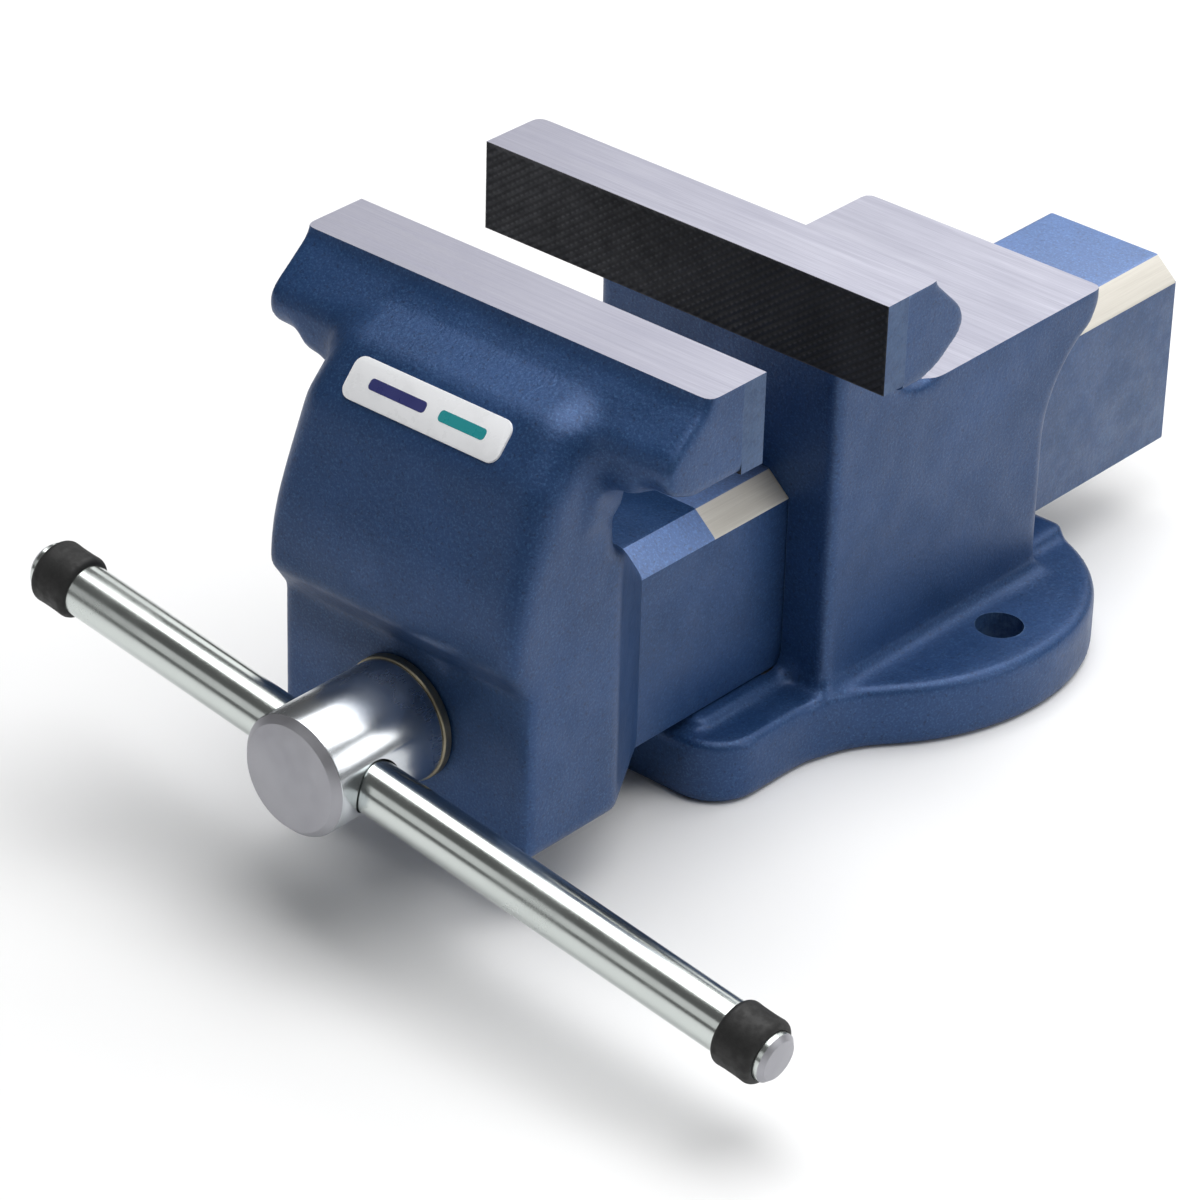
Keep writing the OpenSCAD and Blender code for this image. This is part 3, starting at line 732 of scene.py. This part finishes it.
def build_fixed_body():
    points, faces = surface_of(fixed_field, BODY_LOW, BODY_HIGH + [0, 0, 4], 1.3, 2)
    made = make_object("body_casting", points, faces, 50)
    anvil_from = NECK_REAR + NECK_ROUND + 0.8
    tops = block("cutter", (-FAR, -FAR, TOP), (FAR, FAR, TOP + 60))
    anvil = block("cutter", (-FAR, FIXED_FACE + anvil_from, ANVIL_Z), (FAR, FAR, TOP + 40))
    seat = block("cutter", (-FAR, FIXED_FACE - 40, TOP - PLATE_H - 9), (FAR, FIXED_FACE + PLATE_T, TOP + 40))
    under = block("cutter", (-FAR, -FAR, -60), (FAR, FAR, 0))
    channel = extruded("cutter", slide_section(0.3), FIXED_FACE + 10, FIXED_FACE + 200, 1)
    holes = [round_cutter(side * BOLT_X, 0, BOLT_HOLE_R, -5, FOOT_H + 9) for side in (-1, 1)]
    nut_hole = round_cutter(0, NUT_Y, 5.5, -5, PAD_TOP + 9)
    counterbore = round_cutter(0, NUT_Y, 12.5, -5, 12)
    cut_away(made, tops, anvil, seat, under, channel, *holes, nut_hole, counterbore)
    smooth(made, 42)
    give(made, PAINT, GROUND_TOP, BORE_STEEL)

    def choose(centre, normal):
        index = np.where(machined_tops(centre, normal, (TOP, ANVIL_Z)), 1, 0)
        in_channel = (np.abs(centre[:, 0]) < SLIDE_HALF + 0.4) & (centre[:, 2] > SLIDE_BOTTOM - 0.5)
        in_channel &= (centre[:, 2] < SLIDE_TOP + 0.4) & (np.abs(normal[:, 1]) < 0.2)
        in_channel &= centre[:, 1] > FIXED_FACE + 17
        in_channel &= centre[:, 1] < 62
        return np.where(in_channel, 2, index)

    paint_faces(made, choose)
    return attach(made, "body", "body_paint", "fixed_body")


# ---- the moving jaw -------------------------------------------------------------------

def build_jaw_casting():
    low = JAW_LOW.copy()
    high = np.array([JAW_HIGH[0], MOVING_FACE + 8, TOP + 4])
    points, faces = surface_of(moving_field, low, high, 1.3, 2)
    made = make_object("jaw_casting", points, faces, 50)
    tops = block("cutter", (-FAR, -FAR - 300, TOP), (FAR, FAR, TOP + 60))
    seat = block("cutter", (-FAR, MOVING_FACE - PLATE_T, TOP - PLATE_H - 9),
                 (FAR, MOVING_FACE + 60, TOP + 40))
    cavity = block("cutter", (-CAVITY_HALF, CAVITY_FRONT, -9), (CAVITY_HALF, FAR, CAVITY_ROOF))
    bore = on_spindle(cylinder("cutter", JOURNAL_R + 0.4, 60), MOVING_FACE + WALL_FRONT - 20)
    under = block("cutter", (-FAR, -FAR, -60), (FAR, FAR, COLUMN_BOTTOM))
    cut_away(made, tops, seat, cavity, bore, under)
    smooth(made, 42)
    give(made, PAINT, GROUND_TOP, BORE_STEEL)
    paint_faces(made, lambda centre, normal: np.where(machined_tops(centre, normal, (TOP,)), 1, 0))
    return attach(made, "jaw", "body_paint", "moving_jaw")


def build_slide():
    """The square slide: painted, with ground chamfers from a little way behind the column."""
    made = extruded("slide_beam", slide_section(), MOVING_FACE - 30, SLIDE_REAR, 1)
    cavity = block("cutter", (-CAVITY_HALF, CAVITY_FRONT, -9), (CAVITY_HALF, SLIDE_REAR + 20, CAVITY_ROOF))
    cut_away(made, cavity)
    bevel(made, 0.8, 3)
    work = bmesh.new()
    work.from_mesh(made.data)
    for level in (GROUND_FROM, FIXED_FACE + 60):
        bmesh.ops.bisect_plane(work, geom=work.verts[:] + work.edges[:] + work.faces[:],
                               plane_co=(0, level * MM, 0), plane_no=(0, 1, 0))
    work.to_mesh(made.data)
    work.free()
    smooth(made, 40)
    give(made, PAINT, GROUND_SLIDE, BORE_STEEL, PAINT_THIN_AND_SHEEN)

    def choose(centre, normal):
        slanted = (np.abs(normal[:, 0]) > 0.4) & (normal[:, 2] > 0.4)
        ground = slanted & (centre[:, 1] > GROUND_FROM)
        inner = (np.abs(centre[:, 0]) < CAVITY_HALF + 0.5) & (centre[:, 2] < CAVITY_ROOF + 0.5)
        inner &= centre[:, 1] < SLIDE_REAR - 1
        flat = (normal[:, 2] > 0.9) & (centre[:, 2] > SLIDE_TOP - 1)
        # painted sheen: chamfers and the flat top behind the fixed jaw's face get the lighter paint, and the
        # top under the jaws keeps the plain paint
        upper = slanted | (flat & (centre[:, 1] > FIXED_FACE))
        return np.where(ground, 1, np.where(inner, 2, np.where(upper, 3, 0)))

    paint_faces(made, choose)
    return attach(made, "jaw", "body_paint", "moving_jaw")


# ---- jaw plates -----------------------------------------------------------------------

def build_plate(name, face_y, facing, body, node):
    """A plate whose working face is cut by two crossing sets of slanting grooves."""
    step, pitch, depth = 0.4, 2.1, 0.45
    xs = np.linspace(-JAW_HALF, JAW_HALF, int(2 * JAW_HALF / step) + 1)
    zs = np.linspace(TOP - PLATE_H, TOP, int(PLATE_H / step) + 1)
    x, z = np.meshgrid(xs, zs, indexing="ij")

    def groove(angle_deg, width):
        a = math.radians(angle_deg)
        across = (x * math.sin(a) - z * math.cos(a)) / pitch
        return np.clip(1 - np.abs(across - np.round(across)) * 2 / width, 0, 1)

    border = 1.2
    inner = np.minimum(JAW_HALF - np.abs(x), np.minimum(TOP - z, z - TOP + PLATE_H)) / border
    cut_depth = depth * np.clip(inner, 0, 1) * np.maximum(groove(36, 0.8), 0.4 * groove(-36, 0.6))
    front = np.stack([x, face_y - facing * cut_depth, z], axis=-1).reshape(-1, 3)
    nx, nz = len(xs), len(zs)
    index = np.arange(nx * nz).reshape(nx, nz)
    corners = [index[:-1, :-1], index[1:, :-1], index[1:, 1:], index[:-1, 1:]]
    quads = np.stack(corners, axis=-1).reshape(-1, 4)
    rim = np.concatenate([index[:-1, 0], index[-1, :-1], index[1:, -1][::-1], index[0, 1:][::-1]])
    back_y = face_y - facing * PLATE_T
    back = front[rim].copy()
    back[:, 1] = back_y
    start = nx * nz
    n = len(rim)
    back_index = np.arange(start, start + n)
    walls = [[rim[k], back_index[k], back_index[(k + 1) % n], rim[(k + 1) % n]] for k in range(n)]
    faces = quads.tolist() + walls + [back_index[::-1].tolist()]
    if facing > 0:
        faces = [f[::-1] for f in faces]
    made = make_object(name, np.concatenate([front, back]), faces, 30)
    give(made, SERRATED, GROUND_TOP, PLATE_END)

    def choose(centre, normal):
        end = np.abs(normal[:, 0]) > 0.9
        end &= np.abs(np.abs(centre[:, 0]) - JAW_HALF) < 0.01
        under = (normal[:, 2] < -0.9) & (centre[:, 2] < TOP - PLATE_H + 0.01)
        return np.where(machined_tops(centre, normal, (TOP,)), 1, np.where(end | under, 2, 0))

    paint_faces(made, choose)
    return attach(made, body, "jaw_steel", node)


# ---- badge ----------------------------------------------------------------------------

def rounded_rectangle(width, height, corner, count=8):
    w, h = width / 2 - corner, height / 2 - corner
    return (arc(w, h, corner, 0, 90, count) + arc(-w, h, corner, 90, 180, count)
            + arc(-w, -h, corner, 180, 270, count) + arc(w, -h, corner, 270, 360, count))


def build_badge():
    """A blank white badge with a plain two-tone stripe, lying on the sloping shoulder."""
    tilt = math.radians(48.35)
    centre = (-1.5, MOVING_FACE - 51.15, TOP - 20.35)
    normal = (0, -math.sin(tilt), math.cos(tilt))
    plate = bevel(extruded("badge", rounded_rectangle(58, 13, 3.5), -1.5, 0.75, 2), 0.25)
    give(plate, BADGE_WHITE)
    stripes = []
    for name, x, width, material in (("badge_stripe_navy", -10.5, 21, BADGE_NAVY),
                                     ("badge_stripe_teal", 13.5, 17, BADGE_TEAL)):
        bar = [(x + px, py) for px, py in rounded_rectangle(width, 3.4, 1.2)]
        stripes.append(give(extruded(name, bar, 0.3, 0.8, 2), material))
    for made in (plate, *stripes):
        place(made, centre, normal)
    attach(plate, "jaw", "badge", "name_plate")
    for made in stripes:
        attach(made, "jaw", "badge")


# ---- spindle --------------------------------------------------------------------------

def build_head():
    length = HEAD_HIGH[1] - HEAD_LOW[1]
    rim = 2.4
    profile = ([(0, 0), (HEAD_R - rim, 0), (HEAD_R - rim + 0.25, 0.1), (HEAD_R - 0.15, rim - 0.3),
                (HEAD_R, rim)] + arc(HEAD_R - 0.6, length - 0.6, 0.6, 0, 90, 4) + [(0, length)])
    made = on_spindle(lathe("head", profile, 192, 25), HEAD_LOW[1])
    bore = on_handle(place(cylinder("cutter", BAR_R + 0.45, 80), (0, 0, -40), (0, 0, 1)))
    cut_away(made, bore)
    bevel(made, 0.35, 2, 30)
    give(made, HEAD_PLATE, HEAD_FACE)
    paint_faces(made, lambda c, n: ((n[:, 1] < -0.5) & (c[:, 1] < HEAD_LOW[1] + rim)).astype(int))
    return attach(made, "spindle", "plated_steel", "spindle_head")


def build_thrust_washer():
    outer = (WASHER_HIGH[0] - WASHER_LOW[0]) / 2
    length = WASHER_HIGH[1] - WASHER_LOW[1]
    profile = [(JOURNAL_R + 0.2, 0)] + arc(outer - 0.6, 0.6, 0.6, 270, 360, 4)
    profile += [(outer, length - 0.3), (outer - 0.3, length), (JOURNAL_R + 0.2, length)]
    made = give(on_spindle(lathe("washer", profile, 160), WASHER_LOW[1]), WASHER_STEEL)
    return attach(made, "spindle", "bronze", "thrust_washer")


def build_shank():
    length = SHANK_HIGH[1] - SHANK_LOW[1]
    neck = HEAD_HIGH[1] - SHANK_LOW[1]
    profile = [(0, 0), (10, 0), (10, neck), (JOURNAL_R, neck)]
    profile += arc(JOURNAL_R - 1, length - 1, 1, 0, 90, 4) + [(0, length)]
    made = give(on_spindle(lathe("shank", profile), SHANK_LOW[1]), SCREW_STEEL)
    return attach(made, "spindle", "plain_steel", "spindle_shank")


def build_screw():
    """The thread's profile lines wound round the axis, with a plain ring at each end."""
    steps, crest_r, root_r, turns = 60, 12.0, 9.2, 42
    profile = [(root_r, 0.0), (root_r, 2.2), (crest_r - 0.25, 3.1), (crest_r, 3.35), (crest_r, 4.85),
               (crest_r - 0.25, 5.1)]
    rows, width = turns * steps, len(profile)
    start = SCREW_LOW[1] + THREAD_PITCH / 2

    def spot(radius, row, along):
        a = 2 * math.pi * row / steps
        return (radius * math.cos(a), radius * math.sin(a), along)

    def lead(row):
        return THREAD_PITCH * row / steps

    points = [spot(r, i, lead(i) + h) for i in range(rows) for r, h in profile]
    points += [spot(root_r, i, lead(i)) for i in range(rows, rows + steps)]

    def at(row, k):
        if k == width:
            row, k = row + steps, 0
        return row * width + k if row < rows else rows * width + row - rows

    faces = [[at(i, k), at(i + 1, k), at(i + 1, k + 1), at(i, k + 1)]
             for i in range(rows - 1) for k in range(width)]
    faces.append([at(0, k) for k in range(1, width + 1)])
    faces.append([at(rows - 1, k) for k in range(width, 0, -1)])
    low, high = len(points), len(points) + steps
    points += [spot(root_r, i, -THREAD_PITCH / 2) for i in range(steps)]
    points += [spot(root_r, i, lead(rows) + 1.5 * THREAD_PITCH) for i in range(steps)]
    for i in range(steps):
        after = (i + 1) % steps
        wall = [low + i, low + after, at(i + 1, 0), at(i, 0)]
        faces.append(wall if i < steps - 1 else [low + i, low, at(0, 0), at(0, 1), at(steps, 0), at(i, 0)])
    last = rows - 1
    for i in range(last, last + steps):
        upper = [high + (i + 1) % steps, high + i % steps]
        if i == last:
            faces.append([at(last, 0), at(rows, 0), *upper, at(last, width), at(last, 1)])
        else:
            faces.append([at(i, 0), at(i + 1, 0), *upper])
    faces.append([low + i for i in range(steps)][::-1])
    faces.append([high + i for i in range(steps)])
    made = give(on_spindle(make_object("screw", points, faces, 25), start), SCREW_STEEL)
    return attach(made, "spindle", "plain_steel", "lead_screw")


# ---- handle ---------------------------------------------------------------------------

def bar_ends():
    """Both ends of the bar along its axis, from the spindle's axis."""
    low, high = node_box("handle_bar")
    reach = np.array([low[0], high[0]]) / HANDLE_AXIS[0]
    tip = (BAR_R - 1.8) * abs(HANDLE_AXIS[2]) / HANDLE_AXIS[0]
    return reach[0] + tip, reach[1] - tip


def build_handle():
    left, right = bar_ends()
    length = right - left
    seat = 16.5
    half = ([(0, 0)] + arc(BAR_END_R - 1.6, 0.4, 0.4, 270, 315, 3)
            + [(BAR_END_R, 1.4), (BAR_END_R, seat - 0.8), (BAR_R, seat)])
    profile = half + [(r, length - along) for r, along in reversed(half)]
    made = place(lathe("bar", profile, 144, 25), (0, 0, left), (0, 0, 1))
    give(on_handle(made), CHROME, HEAD_FACE)

    def at_an_end(centre, normal):
        along = (centre - HANDLE_POINT) @ HANDLE_AXIS
        return ((along > right - 1.5) | (along < left + 1.5)).astype(int)

    paint_faces(made, at_an_end)
    attach(made, "handle", "plated_steel", "handle_bar")


def build_ring(name, node):
    """A moulded rubber ring, soft at its edges, with a shallow waist."""
    low, high = node_box(node)
    outer, length, edge, waist = 9.8, 13.5, 2.2, 0.12
    middle = np.dot((low + high) / 2 - HANDLE_POINT, HANDLE_AXIS)
    profile = ([(BAR_END_R, 0.3)] + arc(outer - edge, edge, edge, 270, 360, 6)
               + [(outer - waist, length * 0.35), (outer - waist, length * 0.65)]
               + arc(outer - edge, length - edge, edge, 0, 90, 6) + [(BAR_END_R, length - 0.3)])
    made = place(lathe(name, profile, 112), (0, 0, middle - length / 2), (0, 0, 1))
    give(on_handle(made), RUBBER)
    attach(made, "handle", "rubber", node)


# ---- small parts that keep their CAD shape --------------------------------------------

def dress_small_parts():
    looks = {
        SCREW_STEEL: ["head_pin", "spring_washer", "collar_pin", "nut_bolt_washer", "nut_dowel",
                      "rear_plate_dowels", "front_plate_dowels"],
        DARK_STEEL: ["spindle_spring", "retaining_collar", "nut_bolt"],
        BRONZE: ["spindle_nut"],
    }
    for material, names in looks.items():
        for name in names:
            give(frame["nodes"][name], material)
            smooth(frame["nodes"][name], 35)


# ---- studio ---------------------------------------------------------------------------

def area_light(name, position, target, size, power, color=(1, 1, 1)):
    light = bpy.data.lights.new(name, "AREA")
    light.shape = "RECTANGLE"
    light.size, light.size_y = size
    light.energy = power
    light.color = color
    made = bpy.data.objects.new(name, light)
    made.location = position
    made.rotation_euler = (Vector(target) - Vector(position)).to_track_quat("-Z", "Y").to_euler()
    bpy.context.scene.collection.objects.link(made)
    return made


def build_studio():
    floor = block("floor", (-10 * FAR, -10 * FAR, -10), (10 * FAR, 10 * FAR, 0))
    n = Nodes("floor")
    tone = n.mix(n.ramp(n.noise(3, 3), 0.3, 0.7), (0.88, 0.88, 0.88), (0.90, 0.90, 0.90))
    give(floor, n.finish(tone, 0.9))
    middle = (0, -0.05, 0.08)
    area_light("overhead", (0.1, 0.2, 1.8), middle, (2.0, 2.0), 46)
    area_light("back", (-0.1, 1.65, 1.15), middle, (2.6, 0.9), 10)
    area_light("right", (1.7, 0.5, 0.9), middle, (0.9, 0.9), 7)
    area_light("front", (-0.5, -1.8, 0.8), middle, (1.2, 0.8), 2)
    world = bpy.data.worlds.new("studio")
    world.use_nodes = True
    world.node_tree.nodes["Background"].inputs["Color"].default_value = (1, 1, 1, 1)
    world.node_tree.nodes["Background"].inputs["Strength"].default_value = 0.10
    bpy.context.scene.world = world
    bpy.context.scene.view_settings.view_transform = "Standard"


def build_camera():
    """The photograph's viewpoint: above the front right, with a long lens and a slight roll."""
    lens, azimuth, elevation, roll = 153.6, 40.54, 30.69, 1.68
    distance, shift_right, shift_up = 1474.5, 21.95, 64.08
    target = Vector((0, FIXED_FACE, TOP - 50))
    a, e, t = (math.radians(v) for v in (azimuth, elevation, roll))
    back = Vector((math.sin(a) * math.cos(e), -math.cos(a) * math.cos(e), math.sin(e)))
    level = Vector((math.cos(a), math.sin(a), 0))
    upright = back.cross(level)
    right = level * math.cos(t) + upright * math.sin(t)
    up = upright * math.cos(t) - level * math.sin(t)
    spot = (target + back * distance - right * shift_right - up * shift_up) * MM
    data = bpy.data.cameras.new("camera")
    data.lens = lens
    data.sensor_width = 36
    data.clip_end = 20
    camera = bpy.data.objects.new("camera", data)
    turn = Matrix((right, up, back)).transposed().to_4x4()
    camera.matrix_world = Matrix.Translation(spot) @ turn
    bpy.context.scene.collection.objects.link(camera)
    bpy.context.scene.camera = camera


build_fixed_body()
build_jaw_casting()
build_slide()
build_plate("plate_rear", FIXED_FACE, -1, "body", "rear_jaw_plate")
build_plate("plate_front", MOVING_FACE, 1, "jaw", "front_jaw_plate")
build_badge()
build_head()
build_thrust_washer()
build_shank()
build_screw()
build_handle()
build_ring("ring_right", "handle_ring_right")
build_ring("ring_left", "handle_ring_left")
dress_small_parts()
build_studio()
build_camera()
